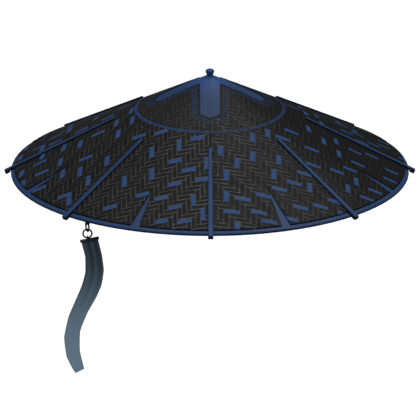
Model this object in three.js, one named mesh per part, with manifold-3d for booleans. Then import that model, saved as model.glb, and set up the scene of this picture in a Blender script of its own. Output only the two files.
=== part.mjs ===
// Conical woven hat with eight ribs, a lacquered rim hoop, a crown cross, a top knob and one hanging ribbon.
// Millimetres, +Z up, front towards -Y. Heights are worked out from the rim plane, the level of the hoop's
// upper outer edge, and the whole hat is then lowered so that the origin is where the head's top touches it.
import * as THREE from "three";
import { mergeVertices } from "three/addons/utils/BufferGeometryUtils.js";
import Module from "manifold-3d";

const wasm = await Module();
wasm.setup();

// Driving sizes
const RIM_RADIUS = 250;
const SLOPE = 0.5046;
const WALL = 3;
const GAP = 0.3;
const TURN_STEPS = 96;
const SEAT_RADIUS = 40;

// Rim hoop and its wedge tabs
const BAND_WIDTH = 4.8;
const BAND_DEPTH = 1.35;
const HOOP_EDGE_BEVEL = { inward: 0.7, down: 0.9 };
const HOOP_FACE = 2.7;
const HOOP_FOOT = { inward: 1.4, down: 3.3 };
const LEDGE_WIDTH = 4.7;
const LEDGE_THICK = 2;
const TAB_BASE_WIDTH = 11.3;
const TAB_THICK = 2.8;

// Ribs
const RIB_START_RADIUS = 119.4;
const RIB_REACH = 258.1;
const RIB_START_WIDTH = 4.3;
const RIB_END_WIDTH = 6.7;
const RIB_HEIGHT = 2.25;
const RIB_BEVEL = 0.7;
const RIB_BLOCK_HEIGHT = 5.3;
const RIB_BLOCK_LENGTH = 6.5;

// Tip radius of each wedge tab, counted round from the one to the right of the front rib
const TAB_TIPS = [183, 194.5, 191.5, 191.5, 191.5, 191.5, 191.5, 187.5];

// Crown cross and knob
const ARM_HALF_WIDTH = 12.5;
const ARM_SIDE_END = 63.8;
const ARM_TIP = 70.5;
const CROSS_DEPTH = 1;
const CROSS_THICK = 0.8;
const KNOB_STEPS = 16;

// Knob profile above its foot
const KNOB_ROWS = [
  { radius: 4.0, up: 0 },
  { radius: 4.3, up: 1.6 },
  { radius: 4.8, up: 2.8 },
  { radius: 5.4, up: 3.7 },
  { radius: 5.6, up: 4.9 },
  { radius: 5.3, up: 6.3 },
  { radius: 4.1, up: 7.5 },
  { radius: 2.4, up: 8.1 },
  { radius: 0, up: 8.3 },
];

// Hanging set: an eye under the brim, two rings, a clasp and the ribbon
const HANG_AZIMUTH = THREE.MathUtils.degToRad(-40.6);
const HANG_RADIUS = 235;
const EYE_WIRE = 1.4;
const EYE_SPAN = 7.4;
const EYE_BAR_TOP = -10.6;
const RING_WIRE = 2.2;
const UPPER_RING_WIDTH = 13.6;
const UPPER_RING_TURN = THREE.MathUtils.degToRad(-70);
const LOWER_RING_WIDTH = 13.3;
const RING_STEPS = 16;
const WIRE_SIDES = 6;
const CLASP = { length: 24.1, height: 3, depth: 4.4, bevel: 0.6, sideways: 2.6, drop: 8 };
const CLASP_TILT = THREE.MathUtils.degToRad(11.5);
const LUG = { width: 1.4, rise: 4.5, halfDepth: 2.3, wire: 0.8 };
const RIBBON_THICK = 2;
const RIBBON_STEPS_PER_ROW = 3;
const RIBBON_ACROSS = 10;
const PLEATS = 2.5;
const PLEAT_DEPTH = 0.9;
const PLEAT_FADE = 0.62;

// Ribbon sections below the clasp's middle: how far down and sideways the section's middle is, its width,
// how much its right end is higher than its left one, and how far it stands forward.
const RIBBON_ROWS = [
  { down: 1.9, sideways: 0.3, width: 20.9, rise: 4.2, forward: 0 },
  { down: 21.6, sideways: 5.0, width: 21.1, rise: 1.8, forward: 0.5 },
  { down: 41.5, sideways: 6.1, width: 23.3, rise: 3.7, forward: 1.6 },
  { down: 59.3, sideways: 2.5, width: 24.8, rise: 1.6, forward: 1.8 },
  { down: 76.5, sideways: -4.2, width: 25.8, rise: 3.9, forward: 0.6 },
  { down: 99.8, sideways: -14.9, width: 23.5, rise: 5.1, forward: -1.2 },
  { down: 125.4, sideways: -22.1, width: 20.1, rise: 8.1, forward: -2.2 },
  { down: 150.5, sideways: -20.9, width: 16.8, rise: 7.2, forward: -1.4 },
  { down: 170.8, sideways: -14.2, width: 13.9, rise: 1.1, forward: 0.4 },
];
const RIBBON_CORNER = { across: 0.24, down: 4.6 };
const RIBBON_CURVE = 0.4;

// The cone's angle, and heights on it
const LEAN = Math.atan(SLOPE);
const COS = Math.cos(LEAN);
const SIN = Math.sin(LEAN);
const EDGE_RADIUS = RIM_RADIUS - BAND_WIDTH;

// Height of the level that lies `depth` under the weave's outer face, square to it.
function coneHeight(radius, depth = 0) {
  return SLOPE * (RIM_RADIUS - radius) + (BAND_DEPTH - depth) / COS;
}

const SEAT_HEIGHT = coneHeight(SEAT_RADIUS, WALL);

// Solids from geometry and back
function solidOf(geometry) {
  const bare = geometry.clone();
  bare.deleteAttribute("normal");
  bare.deleteAttribute("uv");
  const merged = mergeVertices(bare, 1e-4);
  const index = merged.index.array;
  const kept = [];
  for (let i = 0; i < index.length; i += 3) {
    const [a, b, c] = [index[i], index[i + 1], index[i + 2]];
    if (a !== b && b !== c && c !== a) kept.push(a, b, c);
  }
  return new wasm.Manifold(
    new wasm.Mesh({
      numProp: 3,
      vertProperties: merged.attributes.position.array,
      triVerts: new Uint32Array(kept),
    }),
  );
}

function geometryOf(solid) {
  const { vertProperties, triVerts } = solid.getMesh();
  const geometry = new THREE.BufferGeometry();
  geometry.setAttribute("position", new THREE.BufferAttribute(new Float32Array(vertProperties), 3));
  geometry.setIndex(new THREE.BufferAttribute(new Uint32Array(triVerts), 1));
  geometry.computeVertexNormals();
  return geometry;
}

// A closed profile of [radius, height] points turned about the Z axis.
function turned(profile, steps) {
  const points = profile.map(([radius, height]) => new THREE.Vector2(radius, height));
  const geometry = new THREE.LatheGeometry(points, steps);
  geometry.rotateX(Math.PI / 2);
  return solidOf(geometry);
}

// The part of the cone's wall between two depths, out to a radius.
function coneLayer(radius, topDepth, bottomDepth) {
  return turned(
    [
      [0, coneHeight(0, bottomDepth)],
      [radius, coneHeight(radius, bottomDepth)],
      [radius, coneHeight(radius, topDepth)],
      [0, coneHeight(0, topDepth)],
    ],
    TURN_STEPS,
  );
}

// An upright prism over a plan outline of [x, y] points, taller than the hat.
function prism(outline) {
  const shape = new THREE.Shape(outline.map(([x, y]) => new THREE.Vector2(x, y)));
  const tall = coneHeight(0) + RIM_RADIUS;
  const geometry = new THREE.ExtrudeGeometry(shape, { depth: tall, bevelEnabled: false });
  geometry.translate(0, 0, -RIM_RADIUS / 2);
  return solidOf(geometry);
}

// A closed body through sections with equal numbers of points, where point i faces point n - 1 - i.
function loft(sections) {
  const n = sections[0].length;
  const index = [];
  for (let s = 0; s + 1 < sections.length; s++) {
    for (let i = 0; i < n; i++) {
      const a = s * n + i;
      const b = s * n + ((i + 1) % n);
      index.push(a, b + n, b, a, a + n, b + n);
    }
  }
  const last = (sections.length - 1) * n;
  for (let i = 0; i + 1 < n / 2; i++) {
    const facing = n - 1 - i;
    index.push(i, facing - 1, facing, i, i + 1, facing - 1);
    index.push(last + i, last + facing, last + facing - 1, last + i, last + facing - 1, last + i + 1);
  }
  const geometry = new THREE.BufferGeometry();
  geometry.setAttribute("position", new THREE.Float32BufferAttribute(sections.flat(2), 3));
  geometry.setIndex(index);
  return solidOf(geometry);
}

// Turns a geometry that points outwards along +X to an azimuth counted from the front.
function aim(object, azimuth) {
  object.rotation.z = azimuth - Math.PI / 2;
  return object;
}

function aimed(solid, azimuth) {
  const geometry = geometryOf(solid);
  geometry.rotateZ(azimuth - Math.PI / 2);
  return solidOf(geometry);
}

// Materials
function finish(color, roughness, metalness) {
  return new THREE.MeshStandardMaterial({ color, roughness, metalness });
}

const weave = finish("#2b2b2c", 0.8, 0);
const lacquer = finish("#3a4d70", 0.5, 0);
const darkMetal = finish("#1b222b", 0.45, 0.6);
const cloth = finish("#4a5a69", 0.9, 0);

const hat = new THREE.Group();
const body = new THREE.Group();
body.position.z = -SEAT_HEIGHT;
hat.add(body);

function add(name, solid, material) {
  const mesh = new THREE.Mesh(geometryOf(solid), material);
  mesh.name = name;
  body.add(mesh);
  return mesh;
}

// Wedge outline of one tab, pointing to the apex; spread widens it evenly on both sides.
function wedge({ azimuth, tipRadius }, spread) {
  const halfBase = TAB_BASE_WIDTH / 2;
  const halfAngle = Math.atan(halfBase / (EDGE_RADIUS - tipRadius));
  const tip = tipRadius - spread / Math.sin(halfAngle);
  const far = EDGE_RADIUS + BAND_WIDTH / 2;
  const half = Math.tan(halfAngle) * (far - tip);
  return aimed(
    prism([
      [tip, 0],
      [far, -half],
      [far, half],
    ]),
    azimuth,
  );
}

const EIGHTH = Math.PI / 4;
const tabs = TAB_TIPS.map((tipRadius, i) => ({ azimuth: (i + 0.5) * EIGHTH, tipRadius }));

// Plan outline of the crown cross, with pointed arms; spread widens it all round.
function crossOutline(spread) {
  const half = ARM_HALF_WIDTH + spread;
  const side = ARM_SIDE_END + spread / 2;
  const tip = ARM_TIP + spread;
  const outline = [];
  for (let arm = 0; arm < 4; arm++) {
    const [c, s] = [Math.cos(arm * 2 * EIGHTH), Math.sin(arm * 2 * EIGHTH)];
    for (const [out, across] of [
      [half, -half],
      [side, -half],
      [tip, 0],
      [side, half],
    ]) {
      outline.push([out * c - across * s, out * s + across * c]);
    }
  }
  return outline;
}

function wovenCone() {
  let cone = coneLayer(EDGE_RADIUS, 0, WALL);
  for (const tab of tabs) cone = cone.subtract(wedge(tab, GAP));
  const pocket = coneLayer(ARM_TIP + WALL, -WALL, CROSS_DEPTH + CROSS_THICK + GAP);
  return cone.subtract(pocket.intersect(prism(crossOutline(GAP))));
}

// The hoop's section: a bevelled band beside the weave's edge and a ledge under it.
function rimHoop() {
  const inner = EDGE_RADIUS + GAP;
  const ledge = inner - LEDGE_WIDTH;
  const bevelTop = RIM_RADIUS - HOOP_EDGE_BEVEL.inward;
  let hoop = turned(
    [
      [ledge, coneHeight(ledge, WALL) - GAP / COS - LEDGE_THICK],
      [RIM_RADIUS - HOOP_FOOT.inward, -HOOP_FOOT.down],
      [RIM_RADIUS, -HOOP_FACE],
      [RIM_RADIUS, -HOOP_EDGE_BEVEL.down],
      [bevelTop, coneHeight(bevelTop, BAND_DEPTH)],
      [inner, coneHeight(inner, BAND_DEPTH)],
      [inner, coneHeight(inner, WALL) - GAP / COS],
      [ledge, coneHeight(ledge, WALL) - GAP / COS],
      [ledge, coneHeight(ledge, WALL) - GAP / COS - LEDGE_THICK],
    ],
    TURN_STEPS,
  );
  const layer = coneLayer(EDGE_RADIUS + BAND_WIDTH / 2, BAND_DEPTH, BAND_DEPTH + TAB_THICK);
  for (const tab of tabs) hoop = hoop.add(layer.intersect(wedge(tab, 0)));
  return hoop;
}

// One rib, along +X: sections at distances down the slope, each from a bottom to a top height over the weave.
function rib() {
  const start = RIB_START_RADIUS / COS;
  const end = (RIB_REACH - (RIB_HEIGHT - RIB_BEVEL) * SIN) / COS;
  const overBand = (EDGE_RADIUS + 2 * GAP) / COS;
  const pastHoop = end - RIB_BLOCK_LENGTH;
  const bandBottom = GAP - BAND_DEPTH;
  const blockBottom = RIB_HEIGHT - RIB_BLOCK_HEIGHT;
  const stations = [
    { along: start, inset: RIB_BEVEL, bottom: GAP },
    { along: start + RIB_BEVEL, inset: 0, bottom: GAP },
    { along: overBand, inset: 0, bottom: GAP },
    { along: overBand + GAP, inset: 0, bottom: bandBottom },
    { along: pastHoop, inset: 0, bottom: bandBottom },
    { along: pastHoop + GAP, inset: 0, bottom: blockBottom },
    { along: end - RIB_BEVEL, inset: 0, bottom: blockBottom },
    { along: end, inset: RIB_BEVEL, bottom: blockBottom },
  ];
  const sections = stations.map(({ along, inset, bottom }) => {
    const share = (along - start) / (end - start);
    const half = THREE.MathUtils.lerp(RIB_START_WIDTH, RIB_END_WIDTH, share) / 2 - inset / 2;
    const top = RIB_HEIGHT - inset;
    const outline = [
      [-half, bottom],
      [-half, top - RIB_BEVEL],
      [RIB_BEVEL - half, top],
      [half - RIB_BEVEL, top],
      [half, top - RIB_BEVEL],
      [half, bottom],
    ];
    return outline.map(([across, height]) => [
      along * COS + height * SIN,
      across,
      coneHeight(0) - along * SIN + height * COS,
    ]);
  });
  return loft(sections);
}

function crownCross() {
  const plate = coneLayer(ARM_TIP + WALL, CROSS_DEPTH, CROSS_DEPTH + CROSS_THICK);
  return plate.intersect(prism(crossOutline(0)));
}

// A mushroom knob whose foot follows the cross's slope.
function topKnob() {
  const foot = coneHeight(KNOB_ROWS[0].radius, CROSS_DEPTH) + GAP / COS;
  const centre = [0, coneHeight(0, CROSS_DEPTH) + GAP / COS];
  return turned([centre, ...KNOB_ROWS.map(({ radius, up }) => [radius, foot + up])], KNOB_STEPS);
}

// A U-shaped staple, its legs cut to the slope of the wall over it.
function ribbonEye() {
  const legTop = (radius) => coneHeight(radius, WALL) - GAP / COS;
  const [inner, outer] = [HANG_RADIUS - EYE_SPAN / 2, HANG_RADIUS + EYE_SPAN / 2];
  const bottom = EYE_BAR_TOP - EYE_WIRE;
  const shape = new THREE.Shape(
    [
      [inner, bottom],
      [outer, bottom],
      [outer, legTop(outer)],
      [outer - EYE_WIRE, legTop(outer - EYE_WIRE)],
      [outer - EYE_WIRE, EYE_BAR_TOP],
      [inner + EYE_WIRE, EYE_BAR_TOP],
      [inner + EYE_WIRE, legTop(inner + EYE_WIRE)],
      [inner, legTop(inner)],
    ].map(([x, z]) => new THREE.Vector2(x, z)),
  );
  const geometry = new THREE.ExtrudeGeometry(shape, { depth: EYE_WIRE, bevelEnabled: false });
  geometry.translate(0, 0, -EYE_WIRE / 2);
  geometry.rotateX(Math.PI / 2);
  return solidOf(geometry);
}

// An upright ring of round wire, facing the front.
function ring(width) {
  const radius = (width - RING_WIRE) / 2;
  const geometry = new THREE.TorusGeometry(radius, RING_WIRE / 2, WIRE_SIDES, RING_STEPS);
  geometry.rotateX(Math.PI / 2);
  return solidOf(geometry);
}

// A bevelled bar with a small arch on it that the lower ring passes through.
function ribbonClasp() {
  const { length, height, depth, bevel, sideways } = CLASP;
  const section = (along, inset) => {
    const [h, d] = [height / 2 - inset, depth / 2 - inset];
    return [
      [along, -d, -h + bevel],
      [along, -d, h - bevel],
      [along, -d + bevel, h],
      [along, d - bevel, h],
      [along, d, h - bevel],
      [along, d, -h + bevel],
      [along, d - bevel, -h],
      [along, -d + bevel, -h],
    ];
  };
  const order = [7, 0, 1, 2, 3, 4, 5, 6];
  const sections = [
    section(-length / 2, bevel),
    section(bevel - length / 2, 0),
    section(length / 2 - bevel, 0),
    section(length / 2, bevel),
  ].map((points) => order.map((i) => points[i]));
  const bar = geometryOf(loft(sections));
  bar.rotateY(-CLASP_TILT);
  const { halfDepth, rise, wire, width } = LUG;
  const low = -height / 2;
  const arch = new THREE.Shape(
    [
      [-halfDepth, low],
      [halfDepth, low],
      [halfDepth, rise],
      [wire / 2, rise + wire],
      [-wire / 2, rise + wire],
      [-halfDepth, rise],
    ].map(([y, z]) => new THREE.Vector2(y, z)),
  );
  const [holeHalf, holeLow] = [halfDepth - wire, height / 2 - bevel];
  const hole = [
    [-holeHalf, holeLow],
    [-holeHalf, rise - wire / 2],
    [holeHalf, rise - wire / 2],
    [holeHalf, holeLow],
  ];
  arch.holes.push(new THREE.Path(hole.map(([y, z]) => new THREE.Vector2(y, z))));
  const lug = new THREE.ExtrudeGeometry(arch, { depth: width, bevelEnabled: false });
  lug.translate(0, 0, -width / 2);
  lug.rotateX(Math.PI / 2);
  lug.rotateZ(Math.PI / 2);
  lug.translate(-sideways, 0, 0);
  return solidOf(bar).add(solidOf(lug));
}

// The ribbon's rows between the table's sections: partly straight runs, partly a smooth curve.
function ribbonRow(position) {
  const row = {};
  const i = Math.min(Math.floor(position), RIBBON_ROWS.length - 2);
  const t = position - i;
  const at = (k) => RIBBON_ROWS[THREE.MathUtils.clamp(k, 0, RIBBON_ROWS.length - 1)];
  for (const key of Object.keys(RIBBON_ROWS[0])) {
    const [p0, p1, p2, p3] = [at(i - 1)[key], at(i)[key], at(i + 1)[key], at(i + 2)[key]];
    const bend = 2 * p0 - 5 * p1 + 4 * p2 - p3;
    const twist = -p0 + 3 * p1 - 3 * p2 + p3;
    const curve = (2 * p1 + (p2 - p0) * t + bend * t * t + twist * t * t * t) / 2;
    row[key] = THREE.MathUtils.lerp(THREE.MathUtils.lerp(p1, p2, t), curve, RIBBON_CURVE);
  }
  return row;
}

// A pleated strip of even thickness with an oblique lower end.
function ribbon() {
  const steps = (RIBBON_ROWS.length - 1) * RIBBON_STEPS_PER_ROW;
  const sections = [];
  for (let s = 0; s <= steps; s++) {
    const share = s / steps;
    const row = ribbonRow(s / RIBBON_STEPS_PER_ROW);
    const fade = Math.max(0, 1 - share / PLEAT_FADE);
    const front = [];
    for (let a = 0; a <= RIBBON_ACROSS; a++) {
      const across = a / RIBBON_ACROSS;
      const pleat = PLEAT_DEPTH * fade * Math.cos(2 * Math.PI * PLEATS * across);
      const corner = Math.min(across / RIBBON_CORNER.across, (1 - across) / (1 - RIBBON_CORNER.across));
      const cut = s === steps ? RIBBON_CORNER.down * corner : 0;
      front.push([
        row.sideways + (across - 0.5) * row.width,
        -row.forward - pleat - RIBBON_THICK / 2,
        -row.down + (across - 0.5) * row.rise - cut,
      ]);
    }
    const back = front.map(([x, y, z]) => [x, y + RIBBON_THICK, z]);
    sections.push([...front, ...back.reverse()]);
  }
  return loft(sections);
}

add("woven_cone", wovenCone(), weave);
add("rim_hoop", rimHoop(), lacquer);

const ribNames = ["front", "front_right", "right", "back_right", "back", "back_left", "left", "front_left"];
const ribSolid = rib();
ribNames.forEach((name, i) => aim(add("rib_" + name, ribSolid, lacquer), i * EIGHTH));

add("crown_cross", crownCross(), lacquer);
add("top_knob", topKnob(), lacquer);
aim(add("ribbon_eye", ribbonEye(), darkMetal), HANG_AZIMUTH);

// The hanging set, in a group under the eye.
const hanging = new THREE.Group();
hanging.position.set(HANG_RADIUS * Math.sin(HANG_AZIMUTH), -HANG_RADIUS * Math.cos(HANG_AZIMUTH), 0);
body.add(hanging);

const upperRadius = (UPPER_RING_WIDTH - RING_WIRE) / 2;
const lowerRadius = (LOWER_RING_WIDTH - RING_WIRE) / 2;
const upperHeight = EYE_BAR_TOP + GAP + RING_WIRE / 2 - upperRadius;
const lowerHeight = upperHeight - upperRadius + RING_WIRE + GAP - lowerRadius;
const claspHeight = lowerHeight - CLASP.drop;

function hang(name, solid, material, sideways, height) {
  const mesh = add(name, solid, material);
  hanging.add(mesh);
  mesh.position.set(sideways, 0, height);
  return mesh;
}

hang("ring_upper", ring(UPPER_RING_WIDTH), darkMetal, 0, upperHeight).rotation.z = UPPER_RING_TURN;
hang("ring_lower", ring(LOWER_RING_WIDTH), darkMetal, 0, lowerHeight);
hang("ribbon_clasp", ribbonClasp(), darkMetal, CLASP.sideways, claspHeight);
hang("ribbon", ribbon(), cloth, CLASP.sideways, claspHeight);

export default hat;
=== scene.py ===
"""Looks of the conical woven hat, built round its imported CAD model. Lengths are in millimetres until mesh_object()."""

import itertools
import math

import bpy
import numpy as np
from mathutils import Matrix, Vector


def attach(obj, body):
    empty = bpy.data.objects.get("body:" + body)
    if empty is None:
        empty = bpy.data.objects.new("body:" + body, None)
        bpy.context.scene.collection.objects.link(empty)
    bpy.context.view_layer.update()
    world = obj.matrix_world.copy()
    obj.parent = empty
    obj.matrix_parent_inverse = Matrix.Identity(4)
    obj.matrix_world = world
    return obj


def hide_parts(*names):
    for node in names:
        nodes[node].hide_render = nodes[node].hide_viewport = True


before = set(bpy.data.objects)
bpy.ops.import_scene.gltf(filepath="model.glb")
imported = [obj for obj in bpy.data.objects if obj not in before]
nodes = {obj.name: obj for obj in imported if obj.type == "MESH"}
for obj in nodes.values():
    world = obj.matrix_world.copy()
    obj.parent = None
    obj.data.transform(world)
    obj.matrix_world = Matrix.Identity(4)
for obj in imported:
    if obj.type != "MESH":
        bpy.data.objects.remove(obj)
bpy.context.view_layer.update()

MM = 0.001

# The cone, as in the CAD source
RIM_RADIUS = 250.0
SLOPE = 0.5046
COS = math.cos(math.atan(SLOPE))
BAND_DEPTH = 1.35
EDGE_RADIUS = 245.2
WALL = 3.0
SEAT_HEIGHT = 104.118
RIBS = 8

# The grey core lies this deep under both faces of the wall; its grey is a painted highlight in the gaps between the
# strips. It is made too wide by the overrun and cut at the rim.
CORE_DEPTH, CORE_OVERRUN = 0.72, 5.0

# Openings in the weave: the crown cross's pocket and the rim hoop's wedge tabs. The upper strips keep a gap round
# them, and the core and the underside run a little way under the tabs.
GAP = 0.3
CORE_OVERLAP = 0.12
ARM_HALF_WIDTH = 12.5
ARM_SIDE_END = 63.8
ARM_TIP = 70.5
POCKET_DEPTH = 2.1

# The pocket's cutter reaches past the arms and above the cone
POCKET_REACH, POCKET_ABOVE = 120.0, 60.0

# How far each tab's tip is from the axis, counter-clockwise. The first tab is this many rib spaces from +X.
TAB_TIPS = (183.0, 194.5, 191.5, 191.5, 191.5, 191.5, 191.5, 187.5)
FIRST_TAB = -1.5
TAB_BASE_WIDTH = 11.3
TAB_OVERRUN = 20.0

# Every cutter goes past the weave: its lowest and highest points, and how far out it reaches
CUT_LOW, CUT_HIGH, CUT_REACH = -300.0, 100.0, 400.0
STEPS_ROUND = 288
ON_AXIS = 1e-6


def cone_point(x, y, depth):
    """Points at a depth square to the weave's outer face, over plan places x, y."""
    r = np.hypot(x, y)
    z = SLOPE * (RIM_RADIUS - r) + (BAND_DEPTH - depth) / COS - SEAT_HEIGHT
    return np.stack([x, y, z], -1)


# Materials
def linear(r, g, b):
    """A colour of 0 to 255 steps as the renderer wants it."""
    steps = [c / 255 for c in (r, g, b)]
    return [c / 12.92 if c <= 0.04045 else ((c + 0.055) / 1.055) ** 2.4 for c in steps] + [1.0]


class Shader:
    """A node material with one Principled shader, whose sockets are named with _ for a space."""

    def __init__(self, name, **sockets):
        self.material = bpy.data.materials.new(name)
        self.material.use_nodes = True
        self.tree = self.material.node_tree
        self.shader = self.tree.nodes["Principled BSDF"]
        for socket, value in sockets.items():
            self.shader.inputs[socket.replace("_", " ")].default_value = value
        self.coordinates = self.node("ShaderNodeTexCoord")
        self.place = self.coordinates.outputs["Object"]

    def node(self, kind, **values):
        node = self.tree.nodes.new(kind)
        for key, value in values.items():
            setattr(node, key, value)
        return node

    def link(self, source, target):
        self.tree.links.new(source, target)

    def math(self, operation, a, b=None, clamp=False):
        node = self.node("ShaderNodeMath", operation=operation, use_clamp=clamp)
        for socket, value in zip(node.inputs, (a, b)):
            if value is None:
                continue
            if isinstance(value, (int, float)):
                socket.default_value = value
            else:
                self.link(value, socket)
        return node.outputs[0]

    def noise(self, scale, detail, place=None):
        node = self.node("ShaderNodeTexNoise")
        node.inputs["Scale"].default_value = scale
        node.inputs["Detail"].default_value = detail
        self.link(place or self.place, node.inputs["Vector"])
        return node.outputs["Fac"]

    def stretched(self, x, y, z):
        """The object's own coordinates, scaled along each axis."""
        node = self.node("ShaderNodeMapping")
        node.inputs["Scale"].default_value = (x, y, z)
        self.link(self.place, node.inputs["Vector"])
        return node.outputs["Vector"]

    def ramp(self, value, low, high, bottom=0.0, top=1.0):
        """A smooth step from bottom to top as the value goes from low to high."""
        node = self.node("ShaderNodeMapRange")
        node.interpolation_type = "SMOOTHSTEP"
        for socket, number in zip(node.inputs[1:5], (low, high, bottom, top)):
            socket.default_value = number
        self.link(value, node.inputs["Value"])
        return node.outputs["Result"]

    def mix(self, share, a, b):
        node = self.node("ShaderNodeMix", data_type="RGBA")
        for socket, value in ((node.inputs[0], share), (node.inputs[6], a), (node.inputs[7], b)):
            if isinstance(value, (int, float, list, tuple)):
                socket.default_value = value
            else:
                self.link(value, socket)
        return node.outputs[2]

    def color(self, value):
        self.link(value, self.shader.inputs["Base Color"])

    def rough(self, value):
        self.link(value, self.shader.inputs["Roughness"])

    def bump(self, height, distance, strength):
        node = self.node("ShaderNodeBump")
        node.inputs["Strength"].default_value = strength
        node.inputs["Distance"].default_value = distance
        self.link(height, node.inputs["Height"])
        self.link(node.outputs["Normal"], self.shader.inputs["Normal"])


def attribute(shader, name):
    """A value that the mesh stores at its points."""
    node = shader.node("ShaderNodeAttribute", attribute_name=name)
    return node.outputs["Fac"]


# Strips: each pair is a dark shade and a lighter one. Faces go lighter by their own tone times a painted sheen round
# the hat, and edges by a painted highlight.
FACE_BLACK = linear(18, 18, 19), linear(31, 31, 32)
EDGE_BLACK = linear(23, 23, 24), linear(120, 120, 118)
PLAIN_FACE = linear(24, 24, 25), linear(36, 36, 37)
PLAIN_EDGE = linear(26, 26, 27), linear(90, 90, 88)
FACE_BLUE = linear(38, 62, 102), linear(44, 70, 112)
EDGE_BLUE = linear(36, 58, 96), linear(78, 102, 145)
CUT_BLACK = linear(16, 16, 17)
# The core's grey, lighter than the strips, is a painted highlight in the gaps between them.
CORE_GAP_HIGHLIGHT = linear(40, 40, 39)
SPECK_LIGHT = 1.25

# Metal, cloth and floor
METAL, METAL_RUBBED = linear(25, 37, 50), linear(48, 62, 80)
CLOTH_SHADED, CLOTH_LIT = linear(61, 74, 86), linear(115, 139, 158)
CLOTH_GROOVE, CLOTH_THREAD = linear(38, 48, 57), linear(30, 38, 46)
FLOOR_WHITE = linear(244, 244, 244), linear(248, 248, 248)

# Lacquer of the ribs and hoop, and the same for the cross and knob. The bevel and side colours are painted shading by
# facing, and the crown's brighter blue is a painted highlight.
BLUE_PAINT = linear(32, 53, 86)
BLUE_WORN = linear(38, 60, 95)
BLUE_DULL = linear(34, 50, 78)
BLUE_BEVEL_SHADING = linear(32, 57, 96)
BLUE_APEX_HIGHLIGHT = linear(42, 69, 114)
BLUE_SIDE_SHADING = linear(15, 23, 37)
CROWN_PAINT = linear(34, 54, 85)
CROWN_WORN = linear(38, 58, 90)
CROWN_SIDE_SHADING = linear(35, 59, 97)

# The crown gets a painted highlight inside the first radius. Bevels and side faces get painted shading, told by how
# far they face up.
HIGHLIGHT_RADII = (8.0, 44.0)
BEVEL_FACING, SIDE_FACING = (0.8, 0.87), (0.1, 0.5)
CLOUD_SCALE, BRUSH_SCALE = 28.0, 420.0
SATIN = (0.36, 0.48)

# Paint and painted sheen on the weave. Pairs of strengths are those of the left and the right side.
# The ring lies between two radii, the outlines between two distances from the cross, and the bare margin within one.
RING_BLUE = linear(39, 58, 92)
RING_PAINT = (91.2, 94.8)
RING_STRENGTH = (0.92, 0.66)
OUTLINES = ((3.9, 5.3), (8.3, 9.6))
PAINT_BLUR = 0.25
MARGIN = 3.9
MARGIN_GREY = linear(34, 33, 32)
MARGIN_STRENGTH = 0.5
# The crown inside the ring is painted greyer as a sheen, from a start radius inward.
CROWN_SHEEN_GREY = linear(33, 33, 34)
SHEEN_START = 86.0
SHEEN_ON_FACES, SHEEN_ON_EDGES = (0.8, 0.35), (0.3, 0.0)
SIDES_MEET = 15.0
GRAIN_SCALE, CHIP_SCALE, PATCH_SCALE = 900.0, 120.0, 160.0
GRAIN_STRETCH = (1.0, 0.35, 1.0)
TONE_SHARE, GRAIN_SHARE = 0.6, 0.4


def radius_from_axis(shader):
    """How far a place is from the hat's axis, in metres."""
    split = shader.node("ShaderNodeSeparateXYZ")
    shader.link(shader.place, split.inputs[0])
    x, y = split.outputs["X"], split.outputs["Y"]
    return shader.math("SQRT", shader.math("ADD", shader.math("MULTIPLY", x, x), shader.math("MULTIPLY", y, y)))


def inside(shader, value, low, high):
    """1 where the value lies between low and high, in millimetres."""
    up = shader.ramp(value, (low - PAINT_BLUR) * MM, (low + PAINT_BLUR) * MM)
    down = shader.ramp(value, (high - PAINT_BLUR) * MM, (high + PAINT_BLUR) * MM, bottom=1.0, top=0.0)
    return shader.math("MULTIPLY", up, down)


def paint_masks(shader, sheen_strength):
    """Masks of the painted crown ring, the outlines round the cross, the bare margin next to it, and the painted
    sheen inside the ring.
    """
    split = shader.node("ShaderNodeSeparateXYZ")
    shader.link(shader.place, split.inputs[0])
    right = shader.ramp(split.outputs["X"], -SIDES_MEET * MM, SIDES_MEET * MM)
    x = shader.math("ABSOLUTE", split.outputs["X"])
    y = shader.math("ABSOLUTE", split.outputs["Y"])
    ring = inside(shader, radius_from_axis(shader), *RING_PAINT)
    ring = shader.math("MULTIPLY", ring, shader.ramp(right, 0.0, 1.0, *RING_STRENGTH))
    out = shader.math("MAXIMUM", x, y)
    across = shader.math("MINIMUM", x, y)
    tip = ARM_TIP - ARM_SIDE_END
    hypotenuse = math.hypot(ARM_HALF_WIDTH, tip)
    from_side = shader.math("SUBTRACT", across, ARM_HALF_WIDTH * MM)
    from_end = shader.math("SUBTRACT", out, ARM_SIDE_END * MM)
    from_tip = shader.math(
        "ADD",
        shader.math("MULTIPLY", from_end, ARM_HALF_WIDTH / hypotenuse),
        shader.math("MULTIPLY", from_side, tip / hypotenuse),
    )
    distance = shader.math("MAXIMUM", from_side, from_tip)
    lines = [inside(shader, distance, *line) for line in OUTLINES]
    outline = shader.math("ADD", *lines, clamp=True)
    margin = shader.ramp(distance, (MARGIN - 1) * MM, MARGIN * MM, bottom=1.0, top=0.0)
    inner = shader.ramp(radius_from_axis(shader), SHEEN_START * MM, RING_PAINT[0] * MM, bottom=1.0, top=0.0)
    crown_sheen = shader.math("MULTIPLY", inner, shader.ramp(right, 0.0, 1.0, *sheen_strength))
    return ring, outline, margin, crown_sheen


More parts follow.
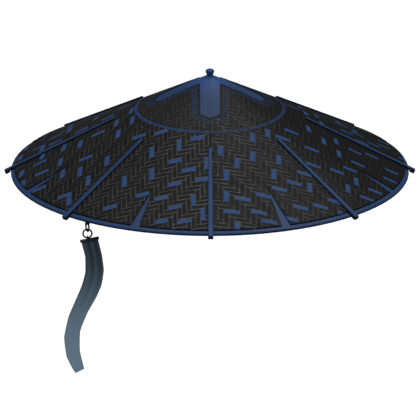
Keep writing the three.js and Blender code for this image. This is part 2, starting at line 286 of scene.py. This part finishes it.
def strip_material(name, shades, painted=False, edge=False):
    """Lacquered split bamboo: fine grain, a tone of its own for each strip times a painted sheen round the hat, and a
    painted highlight on the cut edges.
    """
    s = Shader(name, Specular_IOR_Level=0.03)
    # The tone attribute is each strip's own tone times a painted sheen round the hat.
    tone = s.ramp(attribute(s, "tone"), 0.0, 1.0)
    grain = s.noise(GRAIN_SCALE, detail=3.0, place=s.stretched(*GRAIN_STRETCH))
    shade = s.math("ADD", s.math("MULTIPLY", tone, TONE_SHARE), s.math("MULTIPLY", grain, GRAIN_SHARE))
    if edge:
        # Edges take the painted highlight, broken by random chips.
        chips = s.ramp(s.noise(CHIP_SCALE, detail=3.0), 0.3, 0.65, bottom=0.45)
        shade = s.math("MULTIPLY", attribute(s, "edge_highlight"), chips)
    color = s.mix(shade, *shades)
    if painted:
        ring, outline, margin, crown_sheen = paint_masks(s, SHEEN_ON_EDGES if edge else SHEEN_ON_FACES)
        patchy = s.ramp(s.noise(PATCH_SCALE, detail=3.0), 0.3, 0.6, bottom=0.55)
        # Painted sheen greys the crown inside the ring.
        color = s.mix(crown_sheen, color, CROWN_SHEEN_GREY)
        color = s.mix(s.math("MULTIPLY", margin, MARGIN_STRENGTH), color, MARGIN_GREY)
        color = s.mix(ring, color, RING_BLUE)
        color = s.mix(s.math("MULTIPLY", outline, patchy), color, BLUE_PAINT)
    s.color(color)
    s.rough(s.ramp(grain, 0.2, 0.8, *SATIN))
    s.bump(grain, distance=0.0004, strength=0.35)
    return s.material


def lacquer_material(name, paint, worn, side, crown=False):
    """Satin blue lacquer: cloudy wear, fine brush marks, painted shading with bluer bevels and darker side faces, and
    a painted highlight on the crown.
    """
    s = Shader(name, Specular_IOR_Level=0.07)
    cloud = s.ramp(s.noise(CLOUD_SCALE, detail=4.0), 0.35, 0.7)
    fine = s.noise(BRUSH_SCALE, detail=4.0)
    color = s.mix(cloud, paint, worn)
    color = s.mix(s.ramp(fine, 0.55, 0.8, top=0.35), color, BLUE_DULL)
    bevel = BLUE_BEVEL_SHADING
    # The crown gets a painted highlight round its apex.
    if crown:
        apex_highlight = s.ramp(radius_from_axis(s), HIGHLIGHT_RADII[0] * MM, HIGHLIGHT_RADII[1] * MM, bottom=1.0, top=0.0)
        color = s.mix(apex_highlight, color, BLUE_APEX_HIGHLIGHT)
        bevel = s.mix(apex_highlight, BLUE_BEVEL_SHADING, BLUE_APEX_HIGHLIGHT)
    # Painted shading by facing: bevels and side faces take colours of their own.
    facing = s.node("ShaderNodeSeparateXYZ")
    s.link(s.coordinates.outputs["Normal"], facing.inputs[0])
    up = facing.outputs["Z"]
    color = s.mix(s.ramp(up, *BEVEL_FACING), bevel, color)
    color = s.mix(s.ramp(up, *SIDE_FACING), side, color)
    s.color(color)
    s.rough(s.ramp(fine, 0.2, 0.8, *SATIN))
    s.bump(fine, distance=0.0003, strength=0.2)
    return s.material


def metal_material():
    """Blue-black metal with rubbed spots."""
    s = Shader("dark_metal", Metallic=0.3)
    rub = s.ramp(s.noise(scale=600.0, detail=3.0), 0.5, 0.75)
    s.color(s.mix(rub, METAL, METAL_RUBBED))
    s.rough(s.ramp(rub, 0.0, 1.0, bottom=0.32, top=0.5))
    s.bump(rub, distance=0.0002, strength=0.2)
    return s.material


def dull_material(name, color):
    """A dull surface with fine specks, for what lies between and under the strips."""
    s = Shader(name, Roughness=0.9, Specular_IOR_Level=0.06)
    fine = s.noise(scale=700.0, detail=2.0)
    s.color(s.mix(fine, color, [c * SPECK_LIGHT for c in color[:3]] + [1.0]))
    s.bump(fine, distance=0.0003, strength=0.25)
    return s.material


# Meshes
def mesh_object(name, points, faces, materials=(), face_materials=None, smooth=False):
    """An object in the scene, from points in millimetres."""
    mesh = bpy.data.meshes.new(name)
    mesh.from_pydata((np.asarray(points) * MM).tolist(), [], faces)
    for material in materials:
        mesh.materials.append(material)
    if face_materials is not None:
        mesh.polygons.foreach_set("material_index", face_materials)
    mesh.polygons.foreach_set("use_smooth", [smooth] * len(mesh.polygons))
    mesh.update()
    obj = bpy.data.objects.new(name, mesh)
    bpy.context.scene.collection.objects.link(obj)
    return obj


def revolve(name, profile):
    """A closed profile of [radius, height] points turned about the axis; points on the axis become poles."""
    steps = STEPS_ROUND
    points, rings = [], []
    for radius, height in profile:
        if radius < ON_AXIS:
            rings.append([len(points)] * steps)
            points.append([0, 0, height])
        else:
            rings.append([len(points) + k for k in range(steps)])
            turn = [2 * math.pi * k / steps for k in range(steps)]
            points += [[radius * math.cos(t), radius * math.sin(t), height] for t in turn]
    faces = []
    closed = profile[0][0] > ON_AXIS
    pairs = list(zip(rings, rings[1:])) + ([(rings[-1], rings[0])] if closed else [])
    for low, high in pairs:
        for k in range(steps):
            n = (k + 1) % steps
            face = list(dict.fromkeys([low[k], low[n], high[n], high[k]]))
            if len(face) > 2:
                faces.append(face)
    return mesh_object(name, points, faces)


def prism(name, outline):
    """A plan outline, counter-clockwise, drawn up through the weave."""
    n = len(outline)
    points = [[x, y, z] for z in (CUT_LOW, CUT_HIGH) for x, y in outline]
    faces = [[i, (i + 1) % n, n + (i + 1) % n, n + i] for i in range(n)]
    faces += [list(range(n))[::-1], list(range(n, 2 * n))]
    return mesh_object(name, points, faces)


def carve(obj, tool, operation="DIFFERENCE"):
    """Cut a piece with another, whose material goes onto the cut."""
    modifier = obj.modifiers.new("carve", "BOOLEAN")
    modifier.operation = operation
    modifier.solver = "MANIFOLD"
    modifier.material_mode = "TRANSFER"
    modifier.object = tool
    evaluated = obj.evaluated_get(bpy.context.evaluated_depsgraph_get())
    mesh = bpy.data.meshes.new_from_object(evaluated)
    obj.modifiers.clear()
    obj.data = mesh


def cone_solid(name, outer, top, bottom):
    """The part of the cone's wall between two depths, out to a radius."""
    corners = ((0.0, bottom), (outer, bottom), (outer, top), (0.0, top))
    return revolve(name, [(r, cone_point(np.array(r), np.array(0.0), depth)[2]) for r, depth in corners])


def remove(*objects):
    for obj in objects:
        bpy.data.objects.remove(obj)


# The weave
# Strips run across the hat, and from front to back. Each half of the cone is laid flat to set them out: columns run
# beside the line from the crown to the front, leaning a little, and rows run across it, falling back by their tilt.
# A strip's width changes slowly: width + growth * distance, and phase is the first gap's place in widths.
HALVES = {
    "left": {
        "side": -1, "columns": (5.62, 0.0027, 0.474), "rows": (6.48, 0.0014, 0.50), "lean": 0.005, "tilt": 0.157,
        "start": 3,
    },
    "right": {
        "side": 1, "columns": (6.82, -0.0028, 0.427), "rows": (5.17, 0.0051, 1.99), "lean": 0.001, "tilt": 0.136,
        "start": 5,
    },
}
# A float is what shows of a strip between two crossings, three strips long. The counts cover more than the cone.
FLOAT = 3
REPEAT = 2 * FLOAT
COLUMNS, ROWS = range(-4, 52), range(-60, 60)

# The middles of the blue strips, read one by one off the photo laid out as a plan: how far across to the
# right and how far down to the front, in that plan's own steps. PLAN_ values turn them into millimetres.
BLUE_ACROSS = [
    (947, 682), (763, 606), (823, 812), (892, 878), (824, 951), (960, 940), (670, 985), (760, 1024), (505, 1025),
    (832, 1088), (773, 1158), (882, 1178), (1342, 945), (1163, 1045), (1263, 1005), (1104, 1130), (1238, 1117),
    (1285, 1163), (1403, 1120), (1440, 1033), (1533, 988), (1418, 885), (1465, 802), (1602, 920), (1353, 593),
    (1507, 718), (1500, 596), (1393, 508), (1715, 412), (1808, 358), (1730, 540), (1905, 432), (1888, 540),
    (1686, 627), (1622, 695), (1805, 715), (1762, 805), (170, 403), (462, 390), (180, 525), (395, 590), (657, 588),
    (168, 670), (302, 817), (556, 128), (500, -3), (475, 181), (358, 197), (265, 4), (236, 88), (242, 221),
    (156, 138), (1395, 199), (1618, 75), (1646, 182), (1723, 108), (1733, 232), (1808, 158), (1822, 16), (1883, 90),
    (1917, 200),
]
BLUE_ALONG = [
    (849, 712), (712, 737), (711, 867), (582, 872), (985, 842), (917, 1062), (968, 1152), (1045, 750), (1205, 645),
    (1277, 590), (1211, 770), (1337, 758), (1132, 825), (1078, 903), (1318, 860), (1078, 1035), (1126, 1208),
    (1490, 877), (1625, 990), (1475, 400), (1555, 465), (1618, 395), (1633, 525), (1715, 705), (1672, 792),
    (177, 330), (290, 355), (552, 370), (75, 405), (371, 410), (628, 425), (557, 490), (270, 510), (90, 535),
    (285, 632), (370, 683), (498, 690), (410, 780), (303, 882), (603, 237), (438, 89), (299, 85), (179, -16),
    (115, 54), (172, 223), (74, 137), (309, -32), (396, -74), (1478, 164), (1551, 89), (1556, 207), (1448, 51),
    (1729, 36), (1648, -13),
]
PLAN_ACROSS, PLAN_DOWN = 0.25604, 0.25801
PLAN_LEFT, PLAN_TOP = -256.14, 73.84

# The back is blue where the front is, turned half round, up to this slope beside the front rib
BACK_SLOPE = 0.87

# The nearest float to a blue strip is looked for this many strips round, and a step along it counts half
SEARCH = 2
STEP_ALONG = 0.5


def plan_place(across, down):
    """A charted place as x, y on the hat."""
    return PLAN_LEFT + PLAN_ACROSS * across, PLAN_TOP - PLAN_DOWN * down


def width_steps(distance, pitch):
    """How many strip widths a distance is, as strips widen slowly."""
    width, growth, phase = pitch
    return np.sign(distance) * np.log1p(growth * np.abs(distance) / width) / growth - phase


def width_place(steps, pitch):
    """How far a number of strip widths reaches, the reverse of width_steps()."""
    width, growth, phase = pitch
    q = steps + phase
    return np.sign(q) * np.expm1(growth * np.abs(q)) * width / growth


def half_place(column, row, half):
    """Plan x, y of a place counted in strips on one half."""
    across = width_place(column, half["columns"])
    forward = width_place(row, half["rows"])
    lean, tilt = half["lean"], half["tilt"]
    flat_across = (across - lean * forward) / (1 + lean * tilt)
    flat_forward = forward + tilt * flat_across
    turn = np.arctan2(flat_across, flat_forward)
    turn = np.where(turn < -math.pi / 2, turn + 2 * math.pi, turn) / COS
    r = np.hypot(flat_across, flat_forward) * COS
    return half["side"] * r * np.sin(turn), -r * np.cos(turn)


def half_steps(x, y, half):
    """The strip counts of a plan place, the reverse of half_place()."""
    turn = math.atan2(abs(x), -y) * COS
    slant = math.hypot(x, y) / COS
    across, forward = slant * math.sin(turn), slant * math.cos(turn)
    column = width_steps(across + half["lean"] * forward, half["columns"])
    row = width_steps(forward - half["tilt"] * across, half["rows"])
    return float(column), float(row)


def first_crossing(half, along):
    """What column minus row leaves over, divided by the repeat, where a float begins."""
    return (half["start"] - 1 if along else half["start"]) % REPEAT


def nearest_float(along, x, y):
    """The float whose middle is nearest to a plan place, as its half, direction, column and row."""
    name = "left" if x < 0 else "right"
    half = HALVES[name]
    column, row = half_steps(x, y, half)
    i, j = (column - 0.5, row - FLOAT / 2) if along else (column - FLOAT / 2, row - 0.5)
    column_weight, row_weight = (1, STEP_ALONG) if along else (STEP_ALONG, 1)
    floats = [
        (a, b)
        for a in range(round(i) - SEARCH, round(i) + SEARCH + 1)
        for b in range(round(j) - SEARCH, round(j) + SEARCH + 1)
        if (a - b) % REPEAT == first_crossing(half, along)
    ]
    nearest = min(floats, key=lambda f: (f[0] - i) ** 2 * column_weight + (f[1] - j) ** 2 * row_weight)
    return (name, along, *nearest)


def blue_keys():
    """The floats that are blue: the charted ones, and those of the front turned half round for the back."""
    keys = set()
    for along, places in ((False, BLUE_ACROSS), (True, BLUE_ALONG)):
        for place in places:
            x, y = plan_place(*place)
            keys.add(nearest_float(along, x, y))
            if -y > BACK_SLOPE * abs(x):
                keys.add(nearest_float(along, -x, -y))
    return keys


# A float's section: shares of its length and width, and how deep its surface lies there.
ENDS = np.array([0.0, 0.02, 0.5, 0.98, 1.0])
END_DEPTH = np.array([0.5, 0.08, 0.0, 0.08, 0.5])
SIDES = np.array([0.0, 0.06, 0.5, 0.94, 1.0])
SIDE_DEPTH = np.array([0.42, 0.06, 0.0, 0.06, 0.42])
FOOT_DEPTH = 1.1

# Gaps between strips as a share of a strip, and along the seam of the halves and round the apex in millimetres
INSET = 0.035
SEAM_GAP = 0.2
APEX_CLEAR = 3.0
SEED = 11


def float_template():
    """Faces of one float: a 5 x 5 grid on top, side walls and a foot."""
    n, m = len(ENDS), len(SIDES)
    faces, kinds = [], []
    for a in range(n - 1):
        for b in range(m - 1):
            faces.append([a * m + b, (a + 1) * m + b, (a + 1) * m + b + 1, a * m + b + 1])
            kinds.append(0 if 0 < a < n - 2 and 0 < b < m - 2 else 1)
    border = [(a, 0) for a in range(n)] + [(n - 1, b) for b in range(1, m)]
    border += [(a, m - 1) for a in range(n - 2, -1, -1)] + [(0, b) for b in range(m - 2, 0, -1)]
    ring = [a * m + b for a, b in border]
    foot = [n * m + k for k in range(len(ring))]
    for k in range(len(ring)):
        q = (k + 1) % len(ring)
        faces.append([ring[k], foot[k], foot[q], ring[q]])
        kinds.append(1)
    faces.append(foot[::-1])
    kinds.append(1)
    return faces, kinds, border


def float_points(along, i, j, half):
    """Plan x, y and depth of one float's top points, or None where it is off its half."""
    low, high = i + INSET, i + (1 if along else FLOAT) - INSET
    start, end = j + INSET, j + (FLOAT if along else 1) - INSET
    s, t = np.meshgrid(ENDS, SIDES, indexing="ij")
    if along:
        column, row = low + (high - low) * t, start + (end - start) * s
    else:
        column, row = low + (high - low) * s, start + (end - start) * t
    depth = np.maximum(*np.meshgrid(END_DEPTH, SIDE_DEPTH, indexing="ij"))
    x, y = half_place(column, row, half)
    r = np.hypot(x, y)
    if r.min() > EDGE_RADIUS or r.min() < APEX_CLEAR or (half["side"] * x < SEAM_GAP).all():
        return None
    return x, y, depth


# Painted highlight on the cut edges of the strips, against degrees round from the front. It fades towards the seam.
EDGE_HIGHLIGHT = {
    ("right", False): ((0, 1.0), (30, 0.8), (45, 0.5), (65, 0.15), (100, 0.05), (180, 0.3)),
    ("right", True): ((0, 0.5), (45, 0.38), (70, 0.15), (100, 0.08), (180, 0.3)),
    ("left", False): ((0, 1.0), (15, 0.8), (30, 0.55), (50, 0.3), (70, 0.2), (100, 0.12), (180, 0.3)),
    ("left", True): ((0, 0.9), (15, 0.7), (30, 0.5), (50, 0.45), (70, 0.4), (100, 0.2), (180, 0.3)),
}
SEAM_SHADE = 2.0

# Painted sheen on the faces of the strips, in the same way, lowest in the painted shade of the right side
STRIP_SHEEN = {
    "right": ((0, 1.0), (28, 1.0), (50, 0.25), (70, 0.0), (120, 0.0), (180, 0.8)),
    "left": ((0, 0.6), (20, 0.6), (60, 0.9), (80, 1.0), (180, 0.8)),
}


def round_from_front(x, y):
    """Degrees round the axis from the front, the same on both sides."""
    return np.degrees(np.arctan2(np.abs(x), -y))


def strip_sheen(half_name, x, y):
    """How much painted sheen a float's face gets, from the middle of the float."""
    return float(np.interp(round_from_front(x, y), *zip(*STRIP_SHEEN[half_name])))


def edge_highlight(half_name, along, x, y):
    """The painted highlight on the edges at each point of a float."""
    light = np.interp(round_from_front(x, y), *zip(*EDGE_HIGHLIGHT[half_name, along]))
    return light * np.clip(np.abs(x) / SEAM_SHADE, 0, 1)


def half_weave(name, half_name, flip, chosen, materials):
    """The chosen floats of one half, as one mesh with a tone for each float times a painted sheen, and a painted
    highlight for its edges.
    """
    half = HALVES[half_name]
    faces, kinds, border = float_template()
    rng = np.random.default_rng(SEED)
    points, all_faces, all_kinds, tones_and_sheen, lights = [], [], [], [], []
    for i, j, along in itertools.product(COLUMNS, ROWS, (False, True)):
        start = first_crossing(half, along) + (FLOAT if flip else 0)
        if (i - j - start) % REPEAT:
            continue
        tone = rng.random()
        made = float_points(along, i, j, half) if chosen(half_name, along, i, j) else None
        if made is None:
            continue
        x, y, depth = made
        top = cone_point(x, y, WALL - depth if flip else depth)
        feet = np.array([[x[a, b], y[a, b]] for a, b in border])
        foot = cone_point(feet[:, 0], feet[:, 1], WALL - FOOT_DEPTH if flip else FOOT_DEPTH)
        block = np.concatenate([top.reshape(-1, 3), foot])
        forwards = ((half["side"] > 0) != along) != flip
        base = len(tones_and_sheen)
        for face in faces:
            corners = [base + k for k in face]
            all_faces.append(corners if forwards else corners[::-1])
        all_kinds += kinds
        points.append(block)
        lights.append(edge_highlight(half_name, along, block[:, 0], block[:, 1]))
        # Each float's own tone, times the painted sheen where it lies.
        tones_and_sheen += [tone * strip_sheen(half_name, x.mean(), y.mean())] * len(block)
    obj = mesh_object(name, np.concatenate(points), all_faces, materials, all_kinds)
    for layer_name, values in (("tone", tones_and_sheen), ("edge_highlight", np.concatenate(lights))):
        layer = obj.data.attributes.new(layer_name, "FLOAT", "POINT")
        layer.data.foreach_set("value", np.array(values, np.float32))
    return obj


def weave(name, flip, chosen, materials):
    """All chosen floats of one face of the weave. The halves meet in a seam at the front and the back."""
    halves = []
    for half_name, half in HALVES.items():
        obj = half_weave(name + "_" + half_name, half_name, flip, chosen, materials)
        west, east = sorted((-half["side"] * CUT_REACH, half["side"] * SEAM_GAP))
        outline = [(west, -CUT_REACH), (east, -CUT_REACH), (east, CUT_REACH), (west, CUT_REACH)]
        seam = prism("cut_seam", outline)
        seam.data.materials.append(cut_black)
        carve(obj, seam)
        remove(seam)
        halves.append(obj)
    first = halves[0]
    with bpy.context.temp_override(active_object=first, object=first, selected_editable_objects=halves):
        bpy.ops.object.join()
    first.name = name
    return first


def cross_outline(spread):
    """The crown cross's plan outline, wider by a gap."""
    half, side, tip = ARM_HALF_WIDTH + spread, ARM_SIDE_END + spread / 2, ARM_TIP + spread
    outline = []
    for arm in range(4):
        c, s = math.cos(arm * math.pi / 2), math.sin(arm * math.pi / 2)
        for out, across in ((half, -half), (side, -half), (tip, 0), (side, half)):
            outline.append((out * c - across * s, out * s + across * c))
    return outline


def wedge_outline(angle, tip_radius, spread):
    """The plan outline of one wedge tab, wider by a gap and carried on past the rim."""
    half_angle = math.atan(TAB_BASE_WIDTH / 2 / (EDGE_RADIUS - tip_radius))
    tip = tip_radius - spread / math.sin(half_angle)
    far = EDGE_RADIUS + TAB_OVERRUN
    half = math.tan(half_angle) * (far - tip)
    c, s = math.cos(angle), math.sin(angle)
    return [(x * c - y * s, x * s + y * c) for x, y in ((tip, 0), (far, -half), (far, half))]


def weave_cutters(tab_gap):
    """What the weave leaves open: outside the rim, under the tabs with a gap round them, and the cross's pocket."""
    profile = [(EDGE_RADIUS, CUT_LOW), (CUT_REACH, CUT_LOW), (CUT_REACH, CUT_HIGH), (EDGE_RADIUS, CUT_HIGH)]
    rim = revolve("cut_rim", profile)
    tabs = [
        prism(f"cut_tab_{k}", wedge_outline((FIRST_TAB + k) * 2 * math.pi / RIBS, tip_radius, tab_gap))
        for k, tip_radius in enumerate(TAB_TIPS)
    ]
    pocket = prism("cut_cross", cross_outline(GAP))
    above = cone_solid("cut_above", POCKET_REACH, -POCKET_ABOVE, POCKET_DEPTH)
    carve(pocket, above, "INTERSECT")
    remove(above)
    return rim, tabs, pocket


# The dark fillers under the ribs follow the ribs: their inner end, and half their width there and at the rim
RIB_START, RIB_START_HALF, RIB_END_HALF = 119.4, 2.15, 3.25
BED_INSET, BED_END_INSET = 0.35, 1.0
BED_TOP, BED_FOOT = -0.28, 0.8


def rib_shade_fillers(materials):
    """A dark filler under each rib that closes the gap over the weave: a dark piece that stands in for the shade
    under the rib.
    """
    points, faces = [], []
    section = [[0, 1, 3, 2], [4, 6, 7, 5], [0, 2, 6, 4], [1, 5, 7, 3], [0, 4, 5, 1], [2, 3, 7, 6]]
    for k in range(RIBS):
        c, s = math.cos(2 * math.pi * k / RIBS), math.sin(2 * math.pi * k / RIBS)
        first = len(points)
        ends = ((RIB_START + BED_END_INSET, RIB_START_HALF), (EDGE_RADIUS, RIB_END_HALF))
        for (radius, half), depth, side in itertools.product(ends, (BED_TOP, BED_FOOT), (-1, 1)):
            across = side * (half - BED_INSET)
            height = cone_point(np.array(radius), np.array(0.0), depth)[2]
            points.append([radius * c - across * s, radius * s + across * c, height])
        faces += [[first + q for q in face] for face in section]
    return mesh_object("rib_shade_fillers", points, faces, materials)


black = strip_material("woven_black", FACE_BLACK, painted=True)
black_edge = strip_material("woven_black_edge", EDGE_BLACK, painted=True, edge=True)
plain_black = strip_material("plain_black", PLAIN_FACE)
plain_edge = strip_material("plain_black_edge", PLAIN_EDGE, edge=True)
blue = strip_material("strip_blue", FACE_BLUE)
blue_edge = strip_material("strip_blue_edge", EDGE_BLUE, edge=True)
cut_black = dull_material("weave_cut_edge", CUT_BLACK)
# The core's lighter grey is a painted highlight in the gaps between the strips.
gap_highlight = dull_material("weave_gap", CORE_GAP_HIGHLIGHT)
lacquer = lacquer_material("lacquer_blue", BLUE_PAINT, BLUE_WORN, BLUE_SIDE_SHADING)
crown_lacquer = lacquer_material("lacquer_crown", CROWN_PAINT, CROWN_WORN, CROWN_SIDE_SHADING, crown=True)
metal = metal_material()

blue_floats = blue_keys()
top_black = weave("weave_black", False, lambda *key: key not in blue_floats, [black, black_edge])
top_blue = weave("weave_blue", False, lambda *key: key in blue_floats, [blue, blue_edge])
under = weave("weave_underside", True, lambda *key: True, [plain_black, plain_edge])
core = cone_solid("weave_core", EDGE_RADIUS + CORE_OVERRUN, CORE_DEPTH, WALL - CORE_DEPTH)
core.data.materials.append(gap_highlight)

for pieces, tab_gap in (((top_black, top_blue), GAP), ((under, core), -CORE_OVERLAP)):
    rim_cut, tab_cuts, pocket_cut = weave_cutters(tab_gap)
    for cutter in (rim_cut, pocket_cut, *tab_cuts):
        cutter.data.materials.append(cut_black)
    for piece in pieces:
        carve(piece, rim_cut)
        for tab in tab_cuts:
            carve(piece, tab)
        if piece is not under:
            carve(piece, pocket_cut)
    remove(rim_cut, pocket_cut, *tab_cuts)
# Dark fillers put in the shade under the ribs.
shade_fillers = rib_shade_fillers([cut_black])

for piece in (top_black, top_blue, under, core, shade_fillers):
    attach(piece, "root")
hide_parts("woven_cone")

# Lacquered frame and metal
for name, node in nodes.items():
    if name == "rim_hoop" or name.startswith("rib_"):
        finish = lacquer
    elif name in ("crown_cross", "top_knob"):
        finish = crown_lacquer
    elif name in ("ribbon_eye", "ring_upper", "ring_lower", "ribbon_clasp"):
        finish = metal
    else:
        continue
    for slot in node.material_slots:
        slot.material = finish

# Ribbon: how far down each row is, how far to the right, its width, how much its right end rises, and how far it
# bulges to the front
RIBBON_ROWS = [
    (1.9, 0.3, 20.9, 4.2, 0.0), (21.6, 5.0, 21.1, 1.8, 0.5), (41.5, 6.1, 23.3, 3.7, 1.6), (59.3, 2.5, 24.8, 1.6, 1.8),
    (76.5, -4.2, 25.8, 3.9, 0.6), (99.8, -14.9, 23.5, 5.1, -1.2), (125.4, -22.1, 20.1, 8.1, -2.2),
    (150.5, -20.9, 16.8, 7.2, -1.4), (170.8, -14.2, 13.9, 1.1, 0.4),
]
RIBBON_THICK = 1.6
RIBBON_STEPS = 10
RIBBON_ACROSS = 44
RIBBON_CURVE = 0.4
HANG = (-150.33, -178.43, -31.65 - SEAT_HEIGHT)

# Pleats fade out over this share of the length. Their grooves get painted shade, and the hems are darker.
PLEATS = 2.5
PLEAT_DEPTH = 0.9
PLEAT_FADE = 0.62
GROOVE_SHADE, HEM_SHADE, HEM_SHARE = 0.9, 0.7, 0.06

# The end's point, as a share of the width, how far it hangs lower, and the steps that it takes
CORNER_ACROSS, CORNER_DOWN, CORNER_STEPS = 0.24, 4.6, 6

# Painted shade of the hat: the cloth gets paler between these heights, in metres
FALL_TOP, FALL_END = -0.150, -0.285
THREAD_SCALE = 420.0


def ribbon_row(position):
    """The row at a place between the listed ones, partly on straight runs and partly on a smooth curve."""
    i = min(int(position), len(RIBBON_ROWS) - 2)
    t = position - i
    rows = [np.array(RIBBON_ROWS[min(max(k, 0), len(RIBBON_ROWS) - 1)]) for k in range(i - 1, i + 3)]
    p0, p1, p2, p3 = rows
    bend = 2 * p0 - 5 * p1 + 4 * p2 - p3
    twist = -p0 + 3 * p1 - 3 * p2 + p3
    curve = (2 * p1 + (p2 - p0) * t + bend * t * t + twist * t * t * t) / 2
    return curve * RIBBON_CURVE + (p1 + (p2 - p1) * t) * (1 - RIBBON_CURVE)


def ribbon_material():
    """Plain-woven cloth, with painted shade: dark slate where it hangs in the hat's shade and paler to its free end.
    """
    s = Shader("ribbon_cloth", Roughness=0.85, Specular_IOR_Level=0.1)
    down = s.node("ShaderNodeSeparateXYZ")
    s.link(s.place, down.inputs[0])
    # Painted shade of the hat, fading out towards the free end.
    fall = s.ramp(down.outputs["Z"], FALL_TOP, FALL_END)
    color = s.mix(fall, CLOTH_SHADED, CLOTH_LIT)
    # Painted shade in the pleats' grooves, and darker hems.
    color = s.mix(attribute(s, "groove"), color, CLOTH_GROOVE)
    threads = []
    for direction in ("Z", "X"):
        wave = s.node("ShaderNodeTexWave", wave_type="BANDS", bands_direction=direction)
        wave.inputs["Scale"].default_value = THREAD_SCALE
        s.link(s.place, wave.inputs["Vector"])
        threads.append(wave.outputs["Fac"])
    cloth = s.math("MULTIPLY", *threads)
    s.color(s.mix(s.ramp(cloth, 0.0, 1.0, top=0.35), color, CLOTH_THREAD))
    s.bump(cloth, distance=0.0003, strength=0.5)
    return s.material


def ribbon():
    """The ribbon as one closed sheet, pleated under its clasp, with its free end cut to a point."""
    steps = (len(RIBBON_ROWS) - 1) * RIBBON_STEPS
    across = np.linspace(0, 1, RIBBON_ACROSS + 1)
    front, back, grooves = [], [], []
    for k in range(steps + 1):
        down, sideways, width, rise, forward = ribbon_row(k / RIBBON_STEPS)
        fade = max(0.0, 1 - k / steps / PLEAT_FADE)
        wave = np.cos(2 * np.pi * PLEATS * across)
        pleat = -PLEAT_DEPTH * fade * wave
        groove = GROOVE_SHADE * fade * (0.5 + 0.5 * wave) ** 2
        hem = HEM_SHADE * np.clip(1 - np.minimum(across, 1 - across) / HEM_SHARE, 0, 1)
        grooves.append(np.maximum(groove, hem))
        corner = np.minimum(across / CORNER_ACROSS, (1 - across) / (1 - CORNER_ACROSS))
        cut = CORNER_DOWN * corner * max(0.0, 1 - (steps - k) / CORNER_STEPS)
        x = sideways + (across - 0.5) * width
        y = -forward - pleat
        z = -down + (across - 0.5) * rise - cut
        front.append(np.stack([x, y - RIBBON_THICK / 2, z], -1))
        back.append(np.stack([x, y + RIBBON_THICK / 2, z], -1))
    n, m = steps + 1, RIBBON_ACROSS + 1
    points = np.concatenate([np.concatenate(front), np.concatenate(back)]) + np.array(HANG)
    faces = []
    for a in range(n - 1):
        for b in range(m - 1):
            p = [a * m + b, (a + 1) * m + b, (a + 1) * m + b + 1, a * m + b + 1]
            faces.append(p)
            faces.append([n * m + k for k in p[::-1]])
    ring = [a * m for a in range(n)] + [(n - 1) * m + b for b in range(1, m)]
    ring += [a * m + m - 1 for a in range(n - 2, -1, -1)] + list(range(m - 2, 0, -1))
    for k in range(len(ring)):
        p, q = ring[k], ring[(k + 1) % len(ring)]
        faces.append([p, n * m + p, n * m + q, q])
    obj = mesh_object("ribbon_cloth", points, faces, [ribbon_material()], smooth=True)
    layer = obj.data.attributes.new("groove", "FLOAT", "POINT")
    layer.data.foreach_set("value", np.tile(np.concatenate(grooves), 2).astype(np.float32))
    return obj


cloth = ribbon()
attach(cloth, "root")
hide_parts("ribbon")

# Stage, light and camera
FLOOR_DROP, FLOOR_HALF = 1700.0, 60000.0
FLOOR_GRAIN = 3.0
WORLD_LIGHT = 0.07

floor_corners = [[x * FLOOR_HALF, y * FLOOR_HALF, -FLOOR_DROP] for x, y in ((-1, -1), (1, -1), (1, 1), (-1, 1))]
floor = mesh_object("floor", floor_corners, [[0, 1, 2, 3]])
floor_shader = Shader("floor_white", Roughness=0.9)
floor_shader.color(floor_shader.mix(floor_shader.noise(FLOOR_GRAIN, detail=2.0), *FLOOR_WHITE))
floor.data.materials.append(floor_shader.material)
floor.visible_glossy = False

world = bpy.data.worlds.new("studio")
bpy.context.scene.world = world
world.use_nodes = True
background = world.node_tree.nodes["Background"]
background.inputs["Color"].default_value = (1, 1, 1, 1)
background.inputs["Strength"].default_value = WORLD_LIGHT

for name, energy, angle, towards in (
    ("overhead", 3.1, 70, (0.03, 0.0, 1.0)),
    ("back_light", 0.55, 24, (0.22, 0.50, 0.84)),
):
    sun = bpy.data.lights.new(name, "SUN")
    sun.energy = energy
    sun.angle = math.radians(angle)
    sun_object = bpy.data.objects.new(name, sun)
    sun_object.rotation_mode = "QUATERNION"
    sun_object.rotation_quaternion = Vector(towards).to_track_quat("Z", "Y")
    bpy.context.scene.collection.objects.link(sun_object)

bpy.context.scene.view_settings.view_transform = "Standard"

# Camera: nearly parallel, 18.6 degrees above level. A pixel of the picture is this many millimetres at the axis, and
# the rim's centre is counted in pixels from the picture's centre.
PICTURE = 420
PIXEL = 1.2563
SENSOR = 36
DISTANCE = 12300 * PIXEL
ELEVATION = math.asin(0.3191)
AZIMUTH = math.radians(-0.24)
RIM_CENTRE_ACROSS = -0.15
RIM_CENTRE_UP = 40.5

camera = bpy.data.cameras.new("camera")
camera.sensor_width = SENSOR
camera.lens = SENSOR * DISTANCE / (PICTURE * PIXEL)
camera_object = bpy.data.objects.new("camera", camera)
bpy.context.scene.collection.objects.link(camera_object)
level = math.cos(ELEVATION)
back = Vector((math.sin(AZIMUTH) * level, -math.cos(AZIMUTH) * level, math.sin(ELEVATION)))
right = Vector((math.cos(AZIMUTH), math.sin(AZIMUTH), 0))
up = back.cross(right)
rim_centre = Vector((0, 0, -SEAT_HEIGHT * MM))
target = rim_centre - up * (RIM_CENTRE_UP * PIXEL * MM) - right * (RIM_CENTRE_ACROSS * PIXEL * MM)
camera_object.location = rim_centre + back * (DISTANCE * MM)
camera_object.rotation_mode = "QUATERNION"
camera_object.rotation_quaternion = (target - camera_object.location).to_track_quat("-Z", "Y")
bpy.context.scene.camera = camera_object
